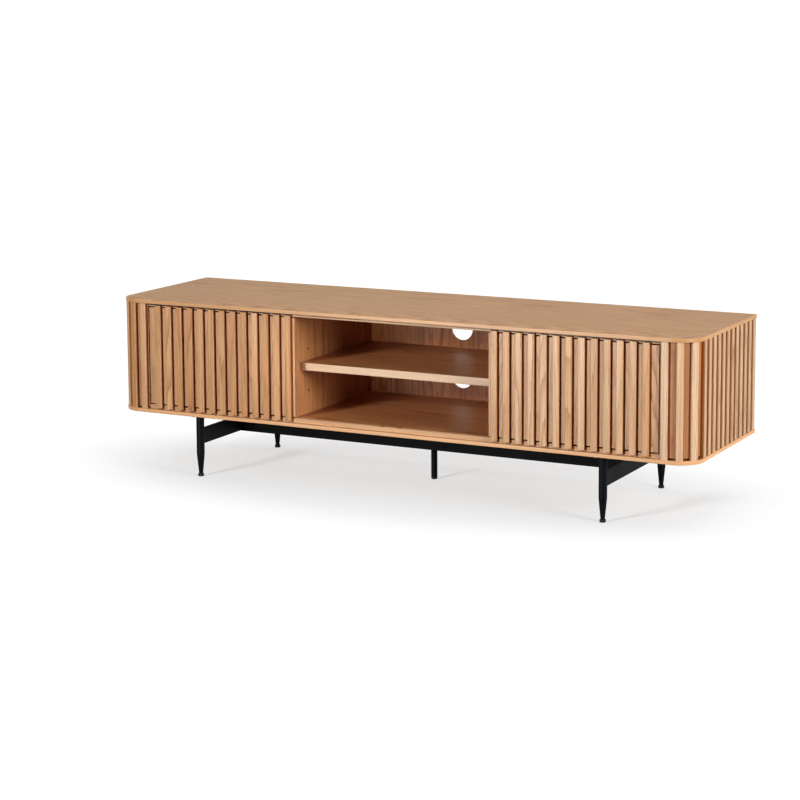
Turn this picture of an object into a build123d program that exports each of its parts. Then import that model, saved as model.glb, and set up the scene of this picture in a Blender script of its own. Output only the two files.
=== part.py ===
"""Slatted oak media cabinet on a black steel base, in millimetres.

+X is to the right and +Y to the back as one stands in front of it, +Z is up.
The origin is on the floor, below the middle of the cabinet. Two rigid slatted
doors run along X in grooves, the left one towards +X and the right one towards -X.
"""

from build123d import *
import math
import os

os.makedirs("parts", exist_ok=True)

UP = (Align.CENTER, Align.CENTER, Align.MIN)  # solid standing on its place
DOWN = (Align.CENTER, Align.CENTER, Align.MAX)  # solid hanging from it

# --- overall -------------------------------------------------------------
WIDTH = 1800.0
DEPTH = 495.0
HEIGHT = 515.0
CLEARANCE_BELOW = 180.0  # floor to the underside of the body
FRONT = -DEPTH / 2  # plane of the front edges
BACK = DEPTH / 2
HALF = WIDTH / 2

# --- slabs, the thin outer boards above and below ---------------------------
SLAB = 11.0
SLAB_CORNER = 70.0  # plan radius of the two front corners
SLAB_BACK_CORNER = 3.0
SLAB_EDGE = 1.5
SLAB_LOW = CLEARANCE_BELOW
SLAB_LOW_TOP = SLAB_LOW + SLAB
SLAB_HIGH = HEIGHT - SLAB

# --- slats ---------------------------------------------------------------
SLAT_W = 19.4
SLAT_T = 10.0
SLAT_ROUND = 2.6
SLAT_INSET = 2.0  # slat faces stand this far behind the slab edges
SLAT_PITCH = 36.5
SLAT_FRONT = FRONT + SLAT_INSET
SLAT_BACK = SLAT_FRONT + SLAT_T

# --- shell behind the slats -----------------------------------------------
SHELL = 12.0
SHELL_OUT = HALF - SLAT_INSET - SLAT_T  # outer face of the end panels
SHELL_IN = SHELL_OUT - SHELL
SHELL_LOW = SLAB_LOW_TOP + 4.5  # foot of the end and corner panels, a dark line in each groove
CORNER_X = HALF - SLAB_CORNER  # centre of the corner arcs
CORNER_Y = FRONT + SLAB_CORNER
CORNER_R_OUT = SLAB_CORNER - SLAT_INSET - SLAT_T
CORNER_R_IN = CORNER_R_OUT - SHELL
CORNER_START = 797.0  # front end of each corner panel
END_BACK = BACK - 5.0

# --- inner boards ---------------------------------------------------------
FLOOR_TOP = SLAB_LOW_TOP + 12.0
CEILING = SLAB_HIGH - 12.0
BOARD_FRONT = FRONT + 33.0
BOARD_BACK = BACK - 17.0
TRACK_FRONT = FRONT + 13.0
TRACK_TOP_LOW = SLAB_HIGH - 8.0  # underside of the upper track strip
GROOVE_W = 6.1
GROOVE_D = 6.0
DIVIDER_IN = 308.5  # inner face of each divider, from the middle
DIVIDER_T = 18.0
DIVIDER_FRONT = FRONT + 28.0
BACK_T = 6.0
BACK_JOINT = DIVIDER_IN + DIVIDER_T / 2
CABLE_R = 35.0
CABLE_Z = (270.5, 415.0)

# --- shelf ----------------------------------------------------------------
SHELF_TOP = 358.0
SHELF_T = 22.0
SHELF_HALF = 307.0
SHELF_FRONT = FRONT + 52.0
SHELF_BACK = BOARD_BACK - 2.0
LIPPING = 6.0
PIN_D = 5.0
PIN_HOLE = 9.0
PIN_Y = (FRONT + 99.0, FRONT + 417.0)
PIN_Z = (270.0, 330.5, 391.0)
PIN_CHEEK = (2.0, 12.0, 16.0)
PIN_LEDGE = (10.0, 12.0, 2.0)
LIPPING_ROUND = 1.2

# --- doors, drawn closed ----------------------------------------------------
DOOR_IN = 303.0
DOOR_OUT = 794.0
DOOR_FRONT = SLAT_BACK
DOOR_T = 12.0
DOOR_LOW = 207.0
DOOR_HIGH = 492.5
DOOR_MID_Y = DOOR_FRONT + DOOR_T / 2 + 1.0
DOOR_SLAT_LOW = 195.5
DOOR_SLAT_HIGH = 499.5
DOOR_SLATS = 13
DOOR_SLAT_IN = 312.0  # inner edge of the slat nearest the middle
DOOR_TRAVEL = 295.0
DOOR_EDGE = 0.6
SLAT_END = 0.8  # chamfer across the ends of the door slats
GLIDE_L = 40.0
GLIDE_X = (DOOR_IN + 45.0, DOOR_OUT - 45.0)
GLIDE_T = 6.0
GLIDE_LOW = FLOOR_TOP - GROOVE_D
GLIDE_TOP = 219.0
GUIDE_D = 6.0
GUIDE_LOW = 477.0
GUIDE_TOP = 501.0
GUIDE_END = 1.0
BUMPER_R = 4.0
BUMPER_Z = (250.0, 450.0)
STOP_L = 10.0
STOP_X = GLIDE_X[0] - GLIDE_L / 2 - DOOR_TRAVEL

# --- base -----------------------------------------------------------------
LEG_X = 633.0
LEG_INSET = 26.0
LEG_Y = BACK - LEG_INSET
LEG_D = 23.0
LEG_TIP_D = 11.5
TAPER_TOP = 66.0
FOOT_H = 8.0
FOOT_D = 17.0
PLATE_T = 3.0
LEG_TOP = CLEARANCE_BELOW - PLATE_T
BAR_T = 12.0
BAR_LOW = 96.0
BAR_H = 45.0
MID_LEG_Y = FRONT + 290.0
MID_LEG_D = 18.0
BRACKET_X = 320.0
BAR_EDGE = 0.8
STUD_D = 6.0
STUD_L = 16.0
FOOT_ROUND = 1.5
MID_FOOT_H = 6.0
MID_FOOT_ROUND = 3.5
MID_STUD_L = 20.0
LEG_PLATE = (56.0, 60.0, 5.0)  # width, depth and corner radius
LEG_PLATE_IN = 18.5  # its middle, inward from the leg
MID_PLATE = (58.0, 58.0, 6.0)
BRACKET_W = 50.0
BRACKET_DROP = 66.0
BRACKET_REACH = 38.0

# --- fasteners --------------------------------------------------------------
SCREW_R = 2.0
SINK_R = 4.0  # countersunk head
SINK = 2.0
CROSS_W = 0.9  # arms of a cross recess
CROSS_L = 4.0
PILOT_TOP = 7.0  # bore in the top slab
PILOT_LOW = 9.0  # bore in the lower slab and in the floor board
SLAB_SCREW_LOW = 20.0
SLAB_SCREW_HIGH = 19.0
BASE_SCREW_L = 12.0
PAN_R = 3.9
PAN_H = 2.4
PAN_ROUND = 1.2
BOLT_R = 2.5
BOLT_DEEP = 9.0
BOLT_DX = (-12.0, 12.0)
BOLT_Z = BAR_LOW + 30.0
BUTTON_R = 4.6
BUTTON_H = 2.8
HEX_R = 1.7
HEX_DEEP = 1.8
BACK_SCREW_D = 3.5
BACK_SCREW_L = 20.0
BACK_HEAD_R = 3.5
BACK_HEAD_H = 2.2
BACK_CROSS_W = 0.8
BACK_CROSS_L = 3.6
DOWEL_R = 4.0
DOWEL_BOARD = 8.0  # depth in the floor board and in the ceiling board
DOWEL_UPRIGHT = 22.0  # depth in the dividers

# --- slab screw and plate screw positions ------------------------------------
SLAB_SCREWS = [
    (x, y)
    for x in (-840.0, -560.0, -180.0, 180.0, 560.0, 840.0)
    for y in (FRONT + 110.0, BACK - 60.0)
]
PLATE_SCREWS = [(dx, dy) for dx in (-18.0, 18.0) for dy in (-6.0, 40.0)]
LEG_SPOTS = [(sx * LEG_X, sy * LEG_Y, sy) for sx in (-1, 1) for sy in (-1, 1)]
PLATE_SCREW_SPOTS = [
    (lx + dx, ly - sy * dy) for lx, ly, sy in LEG_SPOTS for dx, dy in PLATE_SCREWS
]
MID_SCREW_SPOTS = [(dx, MID_LEG_Y + dy) for dx in (-20.0, 20.0) for dy in (-20.0, 20.0)]
BRACKET_SCREW_SPOTS = [
    (sx * BRACKET_X + dx, BAR_T / 2 + 24.0) for sx in (-1, 1) for dx in (-14.0, 14.0)
]
UNDER_SCREWS = PLATE_SCREW_SPOTS + MID_SCREW_SPOTS + BRACKET_SCREW_SPOTS
DOWEL_SPOTS = [
    (sx * (DIVIDER_IN + DIVIDER_T / 2), FRONT + y) for sx in (-1, 1) for y in (75, 255, 435)
]
BACK_SCREWS = (
    [(x, z) for x in (-860, -700, -500, -345, -220, 0, 220, 345, 500, 700, 860)
     for z in (SLAB_LOW_TOP + 6, SLAB_HIGH - 6)]
    + [(sx * x, z) for sx in (-1, 1)
       for x in (DIVIDER_IN + DIVIDER_T / 4, DIVIDER_IN + DIVIDER_T * 3 / 4)
       for z in (270, 430)]
)


# --- top and bottom slabs ------------------------------------------------------
with BuildPart() as top_panel:
    with BuildSketch(Plane.XY.offset(SLAB_HIGH)) as top_outline:
        Rectangle(WIDTH, DEPTH)
        fillet(top_outline.vertices().group_by(Axis.Y)[0], radius=SLAB_CORNER)
        fillet(top_outline.vertices().group_by(Axis.Y)[-1], radius=SLAB_BACK_CORNER)
    extrude(amount=SLAB)
    fillet(top_panel.faces().sort_by(Axis.Z)[-1].edges(), radius=SLAB_EDGE)
    fillet(top_panel.faces().sort_by(Axis.Z)[0].edges(), radius=SLAB_EDGE)
    # pilots for the screws that hold this slab down to the ceiling board
    with Locations(*[(x, y, SLAB_HIGH) for x, y in SLAB_SCREWS]):
        Cylinder(SCREW_R, PILOT_TOP, align=UP, mode=Mode.SUBTRACT)
top_panel.part.label = "top_panel"
export_step(top_panel.part, "parts/top_panel.step")

with BuildPart() as bottom_panel:
    with BuildSketch(Plane.XY.offset(SLAB_LOW)) as bottom_outline:
        Rectangle(WIDTH, DEPTH)
        fillet(bottom_outline.vertices().group_by(Axis.Y)[0], radius=SLAB_CORNER)
        fillet(bottom_outline.vertices().group_by(Axis.Y)[-1], radius=SLAB_BACK_CORNER)
    extrude(amount=SLAB)
    fillet(bottom_panel.faces().sort_by(Axis.Z)[-1].edges(), radius=SLAB_EDGE)
    fillet(bottom_panel.faces().sort_by(Axis.Z)[0].edges(), radius=SLAB_EDGE)
    # countersunk holes for the screws up into the floor board
    with Locations(*[(x, y, SLAB_LOW) for x, y in SLAB_SCREWS]):
        Cylinder(SCREW_R, SLAB, align=UP, mode=Mode.SUBTRACT)
        Cone(SINK_R, SCREW_R, SINK, align=UP, mode=Mode.SUBTRACT)
    # pilots for the base screws
    with Locations(*[(x, y, SLAB_LOW) for x, y in UNDER_SCREWS]):
        Cylinder(SCREW_R, PILOT_LOW, align=UP, mode=Mode.SUBTRACT)
bottom_panel.part.label = "bottom_panel"
export_step(bottom_panel.part, "parts/bottom_panel.step")


# --- floor and ceiling boards ---------------------------------------------------
def board_outline():
    """Plan of the inner boards, which follow the inside of the corner panels."""
    half = SHELL_IN - 0.5
    r = CORNER_R_IN - 0.5
    reach = CORNER_Y - BOARD_FRONT
    dx = math.sqrt(r * r - reach * reach)
    mid = math.atan2(reach, dx) / 2
    left = (-CORNER_X - dx, BOARD_FRONT)
    right = (CORNER_X + dx, BOARD_FRONT)
    mid_right = (CORNER_X + r * math.cos(mid), CORNER_Y - r * math.sin(mid))
    mid_left = (-mid_right[0], mid_right[1])
    return half, left, right, mid_left, mid_right


HALF_BOARD, P_LEFT, P_RIGHT, P_MID_LEFT, P_MID_RIGHT = board_outline()

with BuildPart() as carcass_floor:
    with BuildSketch(Plane.XY.offset(SLAB_LOW_TOP)):
        with BuildLine():
            Line(P_LEFT, P_RIGHT)
            ThreePointArc(P_RIGHT, P_MID_RIGHT, (HALF_BOARD, CORNER_Y))
            Polyline(
                (HALF_BOARD, CORNER_Y), (HALF_BOARD, BOARD_BACK),
                (-HALF_BOARD, BOARD_BACK), (-HALF_BOARD, CORNER_Y),
            )
            ThreePointArc((-HALF_BOARD, CORNER_Y), P_MID_LEFT, P_LEFT)
        make_face()
    extrude(amount=FLOOR_TOP - SLAB_LOW_TOP)
    with Locations(*[(x, y, SLAB_LOW_TOP) for x, y in SLAB_SCREWS]):
        Cylinder(SCREW_R, PILOT_LOW, align=UP, mode=Mode.SUBTRACT)
    with Locations(*[(x, y, FLOOR_TOP) for x, y in DOWEL_SPOTS]):
        Cylinder(DOWEL_R, DOWEL_BOARD, align=DOWN, mode=Mode.SUBTRACT)
    with Locations(*[
        Location((x, BOARD_BACK, z), (90, 0, 0)) for x, z in BACK_SCREWS if z < FLOOR_TOP
    ]):
        Cylinder(BACK_SCREW_D / 2, BACK_SCREW_L - BACK_T, align=UP, mode=Mode.SUBTRACT)
carcass_floor.part.label = "carcass_floor"
export_step(carcass_floor.part, "parts/carcass_floor.step")

with BuildPart() as carcass_ceiling:
    with BuildSketch(Plane.XY.offset(CEILING)):
        with BuildLine():
            Line(P_LEFT, P_RIGHT)
            ThreePointArc(P_RIGHT, P_MID_RIGHT, (HALF_BOARD, CORNER_Y))
            Polyline(
                (HALF_BOARD, CORNER_Y), (HALF_BOARD, BOARD_BACK),
                (-HALF_BOARD, BOARD_BACK), (-HALF_BOARD, CORNER_Y),
            )
            ThreePointArc((-HALF_BOARD, CORNER_Y), P_MID_LEFT, P_LEFT)
        make_face()
    extrude(amount=SLAB_HIGH - CEILING)
    with Locations(*[(x, y, CEILING) for x, y in SLAB_SCREWS]):
        Cylinder(SCREW_R, SLAB_HIGH - CEILING, align=UP, mode=Mode.SUBTRACT)
        Cone(SINK_R, SCREW_R, SINK, align=UP, mode=Mode.SUBTRACT)
    with Locations(*[(x, y, CEILING) for x, y in DOWEL_SPOTS]):
        Cylinder(DOWEL_R, DOWEL_BOARD, align=UP, mode=Mode.SUBTRACT)
    with Locations(*[
        Location((x, BOARD_BACK, z), (90, 0, 0)) for x, z in BACK_SCREWS if z > CEILING
    ]):
        Cylinder(BACK_SCREW_D / 2, BACK_SCREW_L - BACK_T, align=UP, mode=Mode.SUBTRACT)
carcass_ceiling.part.label = "carcass_ceiling"
export_step(carcass_ceiling.part, "parts/carcass_ceiling.step")


# --- grooved strips that guide the doors ------------------------------------------
with BuildPart() as bottom_track:
    with BuildSketch(Plane.XY.offset(SLAB_LOW_TOP)):
        with Locations((0, (TRACK_FRONT + BOARD_FRONT) / 2)):
            Rectangle(2 * CORNER_START, BOARD_FRONT - TRACK_FRONT)
    extrude(amount=FLOOR_TOP - SLAB_LOW_TOP)
    with BuildSketch(Plane.XY.offset(FLOOR_TOP)):
        with Locations((0, DOOR_MID_Y)):
            Rectangle(2 * CORNER_START - 4, GROOVE_W)
    extrude(amount=-GROOVE_D, mode=Mode.SUBTRACT)
bottom_track.part.label = "bottom_track"
export_step(bottom_track.part, "parts/bottom_track.step")

with BuildPart() as top_track:
    with BuildSketch(Plane.XY.offset(TRACK_TOP_LOW)):
        with Locations((0, (TRACK_FRONT + BOARD_FRONT) / 2)):
            Rectangle(2 * CORNER_START, BOARD_FRONT - TRACK_FRONT)
    extrude(amount=SLAB_HIGH - TRACK_TOP_LOW)
    with BuildSketch(Plane.XY.offset(TRACK_TOP_LOW)):
        with Locations((0, DOOR_MID_Y)):
            Rectangle(2 * CORNER_START - 4, GROOVE_W)
    extrude(amount=GROOVE_D, mode=Mode.SUBTRACT)
top_track.part.label = "top_track"
export_step(top_track.part, "parts/top_track.step")


# --- dividers each side of the open bay ---------------------------------------------
for side, name in ((-1, "left_divider"), (1, "right_divider")):
    with BuildPart() as divider:
        with BuildSketch(Plane.XY.offset(FLOOR_TOP)):
            with Locations((side * (DIVIDER_IN + DIVIDER_T / 2), (DIVIDER_FRONT + BOARD_BACK) / 2)):
                Rectangle(DIVIDER_T, BOARD_BACK - DIVIDER_FRONT)
        extrude(amount=CEILING - FLOOR_TOP)
        # shelf pin holes, three heights, front and rear
        with Locations(*[
            Location((side * DIVIDER_IN, y, z), (0, side * 90, 0)) for y in PIN_Y for z in PIN_Z
        ]):
            Cylinder(PIN_D / 2, PIN_HOLE, align=UP, mode=Mode.SUBTRACT)
        # dowels into the floor and the ceiling board
        own = [(x, y) for x, y in DOWEL_SPOTS if x * side > 0]
        with Locations(*[(x, y, FLOOR_TOP) for x, y in own]):
            Cylinder(DOWEL_R, DOWEL_UPRIGHT, align=UP, mode=Mode.SUBTRACT)
        with Locations(*[(x, y, CEILING) for x, y in own]):
            Cylinder(DOWEL_R, DOWEL_UPRIGHT, align=DOWN, mode=Mode.SUBTRACT)
        with Locations(*[
            Location((x, BOARD_BACK, z), (90, 0, 0))
            for x, z in BACK_SCREWS if FLOOR_TOP < z < CEILING and x * side > 0
        ]):
            Cylinder(BACK_SCREW_D / 2, BACK_SCREW_L - BACK_T, align=UP, mode=Mode.SUBTRACT)
    divider.part.label = name
    export_step(divider.part, f"parts/{name}.step")


# --- curved corner panels and straight end panels --------------------------------------
ARC = math.sqrt(0.5)
for side, name in ((-1, "left_corner_panel"), (1, "right_corner_panel")):
    with BuildPart() as corner_panel:
        with BuildSketch(Plane.XY.offset(SHELL_LOW)):
            with BuildLine():
                y_out = CORNER_Y - CORNER_R_OUT
                y_in = CORNER_Y - CORNER_R_IN
                Line((side * CORNER_START, y_out), (side * CORNER_X, y_out))
                ThreePointArc(
                    (side * CORNER_X, y_out),
                    (side * (CORNER_X + ARC * CORNER_R_OUT), CORNER_Y - ARC * CORNER_R_OUT),
                    (side * SHELL_OUT, CORNER_Y),
                )
                Line((side * SHELL_OUT, CORNER_Y), (side * SHELL_IN, CORNER_Y))
                ThreePointArc(
                    (side * SHELL_IN, CORNER_Y),
                    (side * (CORNER_X + ARC * CORNER_R_IN), CORNER_Y - ARC * CORNER_R_IN),
                    (side * CORNER_X, y_in),
                )
                Polyline(
                    (side * CORNER_X, y_in), (side * CORNER_START, y_in),
                    (side * CORNER_START, y_out),
                )
            make_face()
        extrude(amount=SLAB_HIGH - SHELL_LOW)
    corner_panel.part.label = name
    export_step(corner_panel.part, f"parts/{name}.step")

for side, name in ((-1, "left_end_panel"), (1, "right_end_panel")):
    with BuildPart() as end_panel:
        with BuildSketch(Plane.XY.offset(SHELL_LOW)):
            with Locations((side * (SHELL_OUT + SHELL_IN) / 2, (CORNER_Y + END_BACK) / 2)):
                Rectangle(SHELL, END_BACK - CORNER_Y)
        extrude(amount=SLAB_HIGH - SHELL_LOW)
    end_panel.part.label = name
    export_step(end_panel.part, f"parts/{name}.step")


# --- back panels ------------------------------------------------------------------
BACK_SPANS = {
    "back_panel_left": (-SHELL_IN + 1.0, -BACK_JOINT - 0.5),
    "back_panel_centre": (-BACK_JOINT + 0.5, BACK_JOINT - 0.5),
    "back_panel_right": (BACK_JOINT + 0.5, SHELL_IN - 1.0),
}
for name, (x_low, x_high) in BACK_SPANS.items():
    with BuildPart() as back_panel:
        with BuildSketch(Plane.XY.offset(SLAB_LOW_TOP)):
            with Locations(((x_low + x_high) / 2, BOARD_BACK + BACK_T / 2)):
                Rectangle(x_high - x_low, BACK_T)
        extrude(amount=SLAB_HIGH - SLAB_LOW_TOP)
        with Locations(*[
            Location((x, BOARD_BACK, z), (-90, 0, 0)) for x, z in BACK_SCREWS if x_low < x < x_high
        ]):
            Cylinder(BACK_SCREW_D / 2, BACK_T, align=UP, mode=Mode.SUBTRACT)
        if name == "back_panel_centre":
            with Locations(*[Location((0, BOARD_BACK, z), (-90, 0, 0)) for z in CABLE_Z]):
                Cylinder(CABLE_R, BACK_T, align=UP, mode=Mode.SUBTRACT)
    back_panel.part.label = name
    export_step(back_panel.part, f"parts/{name}.step")


# --- shelf, its lipping and its pins --------------------------------------------------
with BuildPart() as shelf:
    with BuildSketch(Plane.XY.offset(SHELF_TOP - SHELF_T)):
        with Locations((0, (SHELF_FRONT + LIPPING + SHELF_BACK) / 2)):
            Rectangle(2 * SHELF_HALF, SHELF_BACK - SHELF_FRONT - LIPPING)
    extrude(amount=SHELF_T)
shelf.part.label = "shelf"
export_step(shelf.part, "parts/shelf.step")

with BuildPart() as shelf_lipping:
    with BuildSketch(Plane.XY.offset(SHELF_TOP - SHELF_T)):
        with Locations((0, SHELF_FRONT + LIPPING / 2)):
            Rectangle(2 * SHELF_HALF, LIPPING)
    extrude(amount=SHELF_T)
    fillet(shelf_lipping.faces().sort_by(Axis.Y)[0].edges(), radius=LIPPING_ROUND)
shelf_lipping.part.label = "shelf_lipping"
export_step(shelf_lipping.part, "parts/shelf_lipping.step")

with BuildPart() as shelf_pins:
    for side in (-1, 1):
        for pin_y in PIN_Y:
            # pin in the divider, a cheek against it and a ledge under the shelf
            with Locations(Location((side * DIVIDER_IN, pin_y, PIN_Z[1]), (0, side * 90, 0))):
                Cylinder(PIN_D / 2, PIN_HOLE - 1, align=UP)
            with Locations((side * (DIVIDER_IN - PIN_CHEEK[0] / 2), pin_y, SHELF_TOP - SHELF_T)):
                Box(*PIN_CHEEK, align=DOWN)
            with Locations((side * (DIVIDER_IN - PIN_LEDGE[0] / 2), pin_y, SHELF_TOP - SHELF_T)):
                Box(*PIN_LEDGE, align=DOWN)
shelf_pins.part.label = "shelf_pins"
export_step(shelf_pins.part, "parts/shelf_pins.step")


# --- fixed slats round the corners and along the ends --------------------------------------
CORNER_ANGLES = {-1: (14.0, 43.0, 72.0), 1: (20.5, 57.0)}  # degrees from the front, by side
HOLLOW = 1.5  # spare depth of the turned slats, cut back to the curve
FRONT_SLAT_X = 811.3
SIDE_SLATS = 12
SIDE_SLAT_Y = FRONT + 83.5
for side, name in ((-1, "left_corner_slats"), (1, "right_corner_slats")):
    with BuildPart() as corner_slats:
        with BuildSketch(Plane.XY.offset(SLAB_LOW_TOP)) as flat_slat:
            with Locations((side * FRONT_SLAT_X, (SLAT_FRONT + SLAT_BACK) / 2)):
                Rectangle(SLAT_W, SLAT_T)
            fillet(flat_slat.vertices().group_by(Axis.Y)[0], radius=SLAT_ROUND)
        extrude(amount=SLAB_HIGH - SLAB_LOW_TOP)
        for angle in CORNER_ANGLES[side]:
            turn = side * angle
            middle = CORNER_R_OUT + (SLAT_T - HOLLOW) / 2
            spot = Plane(
                origin=(
                    side * CORNER_X + middle * math.sin(math.radians(turn)),
                    CORNER_Y - middle * math.cos(math.radians(turn)),
                    SLAB_LOW_TOP,
                ),
                x_dir=(math.cos(math.radians(turn)), math.sin(math.radians(turn)), 0),
                z_dir=(0, 0, 1),
            )
            with BuildSketch(spot) as turned_slat:
                Rectangle(SLAT_W, SLAT_T + HOLLOW)
                ring = sorted(
                    turned_slat.vertices(),
                    key=lambda v: -math.hypot(v.X - side * CORNER_X, v.Y - CORNER_Y),
                )[:2]
                fillet(ring, radius=SLAT_ROUND)
            extrude(amount=SLAB_HIGH - SLAB_LOW_TOP)
        # the backs of the turned slats are hollowed to sit on the curved panel
        with BuildSketch(Plane.XY.offset(SLAB_LOW_TOP)):
            with Locations((side * CORNER_X, CORNER_Y)):
                Circle(CORNER_R_OUT)
        extrude(amount=SLAB_HIGH - SLAB_LOW_TOP, mode=Mode.SUBTRACT)
    corner_slats.part.label = name
    export_step(corner_slats.part, f"parts/{name}.step")

for side, name in ((-1, "left_side_slats"), (1, "right_side_slats")):
    with BuildPart() as side_slats:
        with BuildSketch(Plane.XY.offset(SLAB_LOW_TOP)) as row:
            spots = [(side * (SHELL_OUT + SLAT_T / 2), SIDE_SLAT_Y + i * SLAT_PITCH)
                     for i in range(SIDE_SLATS)]
            with Locations(*spots):
                Rectangle(SLAT_T, SLAT_W)
            outer_x = row.vertices().group_by(Axis.X)[-1 if side > 0 else 0]
            fillet(outer_x, radius=SLAT_ROUND)
        extrude(amount=SLAB_HIGH - SLAB_LOW_TOP)
    side_slats.part.label = name
    export_step(side_slats.part, f"parts/{name}.step")


# --- doors ---------------------------------------------------------------------------
for side, name in ((-1, "left_door_panel"), (1, "right_door_panel")):
    with BuildPart() as door_panel:
        with BuildSketch(Plane.XY.offset(DOOR_LOW)):
            with Locations((side * (DOOR_IN + DOOR_OUT) / 2, DOOR_FRONT + DOOR_T / 2)):
                Rectangle(DOOR_OUT - DOOR_IN, DOOR_T)
        extrude(amount=DOOR_HIGH - DOOR_LOW)
        chamfer(door_panel.edges().filter_by(Axis.Z), length=DOOR_EDGE)
        # slots for the glides below and bores for the guide pins above
        with BuildSketch(Plane.XY.offset(DOOR_LOW)):
            with Locations(*[(side * x, DOOR_MID_Y) for x in GLIDE_X]):
                SlotOverall(GLIDE_L, GLIDE_T)
        extrude(amount=GLIDE_TOP - DOOR_LOW, mode=Mode.SUBTRACT)
        with Locations(*[(side * x, DOOR_MID_Y, DOOR_HIGH) for x in GLIDE_X]):
            Cylinder(GUIDE_D / 2, DOOR_HIGH - GUIDE_LOW, align=DOWN, mode=Mode.SUBTRACT)
    door_panel.part.label = name
    export_step(door_panel.part, f"parts/{name}.step")

for side, name in ((-1, "left_door_slats"), (1, "right_door_slats")):
    with BuildPart() as door_slats:
        with BuildSketch(Plane.XY.offset(DOOR_SLAT_LOW)) as door_row:
            spots = [
                (side * (DOOR_SLAT_IN + SLAT_W / 2 + i * SLAT_PITCH), (SLAT_FRONT + SLAT_BACK) / 2)
                for i in range(DOOR_SLATS)
            ]
            with Locations(*spots):
                Rectangle(SLAT_W, SLAT_T)
            fillet(door_row.vertices().group_by(Axis.Y)[0], radius=SLAT_ROUND)
        extrude(amount=DOOR_SLAT_HIGH - DOOR_SLAT_LOW)
        chamfer(door_slats.faces().group_by(Axis.Z)[-1].edges().group_by(Axis.Y)[0], length=SLAT_END)
        chamfer(door_slats.faces().group_by(Axis.Z)[0].edges().group_by(Axis.Y)[0], length=SLAT_END)
    door_slats.part.label = name
    export_step(door_slats.part, f"parts/{name}.step")

for side, name in ((-1, "left_door_glides"), (1, "right_door_glides")):
    with BuildPart() as door_glides:
        with BuildSketch(Plane.XY.offset(GLIDE_LOW)):
            with Locations(*[(side * x, DOOR_MID_Y) for x in GLIDE_X]):
                SlotOverall(GLIDE_L, GLIDE_T)
        extrude(amount=GLIDE_TOP - GLIDE_LOW)
    door_glides.part.label = name
    export_step(door_glides.part, f"parts/{name}.step")

for side, name in ((-1, "left_door_guides"), (1, "right_door_guides")):
    with BuildPart() as door_guides:
        with Locations(*[(side * x, DOOR_MID_Y, GUIDE_LOW) for x in GLIDE_X]):
            Cylinder(GUIDE_D / 2, GUIDE_TOP - GUIDE_LOW, align=UP)
        chamfer(door_guides.faces().group_by(Axis.Z)[-1].edges(), length=GUIDE_END)
    door_guides.part.label = name
    export_step(door_guides.part, f"parts/{name}.step")

# buffers that the closed doors rest against, on the front ends of the corner panels
with BuildPart() as door_bumpers:
    for side in (-1, 1):
        with Locations(*[
            Location((side * CORNER_START, DOOR_FRONT + DOOR_T / 2, z), (0, -side * 90, 0))
            for z in BUMPER_Z
        ]):
            Cylinder(BUMPER_R, CORNER_START - DOOR_OUT, align=UP)
door_bumpers.part.label = "door_bumpers"
export_step(door_bumpers.part, "parts/door_bumpers.step")

# stop blocks in the lower groove, met by the inner glides when the doors are pushed in
with BuildPart() as track_stops:
    with BuildSketch(Plane.XY.offset(GLIDE_LOW)):
        with Locations(*[(side * (STOP_X - STOP_L / 2), DOOR_MID_Y) for side in (-1, 1)]):
            Rectangle(STOP_L, GROOVE_W)
    extrude(amount=GROOVE_D)
track_stops.part.label = "track_stops"
export_step(track_stops.part, "parts/track_stops.step")


# --- base: legs, bars and rail ---------------------------------------------------------
LEG_NAMES = {
    "leg_front_left": (-1, -1),
    "leg_front_right": (1, -1),
    "leg_rear_left": (-1, 1),
    "leg_rear_right": (1, 1),
}
for name, (sx, sy) in LEG_NAMES.items():
    with BuildPart() as leg:
        with BuildSketch(Plane.XZ.offset(-sy * LEG_Y)):
            with BuildLine():
                Polyline(
                    (sx * LEG_X, FOOT_H), (sx * LEG_X + LEG_TIP_D / 2, FOOT_H),
                    (sx * LEG_X + LEG_D / 2, TAPER_TOP), (sx * LEG_X + LEG_D / 2, LEG_TOP),
                    (sx * LEG_X, LEG_TOP), close=True,
                )
            make_face()
        revolve(axis=Axis((sx * LEG_X, sy * LEG_Y, 0), (0, 0, 1)))
        with Locations((sx * LEG_X, sy * LEG_Y, FOOT_H)):
            Cylinder(STUD_D / 2, STUD_L, align=UP, mode=Mode.SUBTRACT)
    leg.part.label = name
    export_step(leg.part, f"parts/{name}.step")

with BuildPart() as foot_glides:
    with Locations(*[(x, y, 0) for x, y, _ in LEG_SPOTS]):
        Cylinder(FOOT_D / 2, FOOT_H, align=UP)
    fillet(foot_glides.edges().filter_by(GeomType.CIRCLE), radius=FOOT_ROUND)
    with Locations(*[(x, y, FOOT_H) for x, y, _ in LEG_SPOTS]):
        Cylinder(STUD_D / 2, STUD_L, align=UP)
foot_glides.part.label = "foot_glides"
export_step(foot_glides.part, "parts/foot_glides.step")

with BuildPart() as centre_leg:
    with Locations((0, MID_LEG_Y, MID_FOOT_H)):
        Cylinder(MID_LEG_D / 2, LEG_TOP - MID_FOOT_H, align=UP)
    with Locations((0, MID_LEG_Y, MID_FOOT_H)):
        Cylinder(STUD_D / 2, MID_STUD_L, align=UP, mode=Mode.SUBTRACT)
centre_leg.part.label = "centre_leg"
export_step(centre_leg.part, "parts/centre_leg.step")

with BuildPart() as centre_leg_glide:
    with Locations((0, MID_LEG_Y, 0)):
        Cylinder(MID_LEG_D / 2, MID_FOOT_H, align=UP)
    fillet(centre_leg_glide.faces().sort_by(Axis.Z)[0].edges(), radius=MID_FOOT_ROUND)
    with Locations((0, MID_LEG_Y, MID_FOOT_H)):
        Cylinder(STUD_D / 2, MID_STUD_L, align=UP)
centre_leg_glide.part.label = "centre_leg_glide"
export_step(centre_leg_glide.part, "parts/centre_leg_glide.step")

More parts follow.
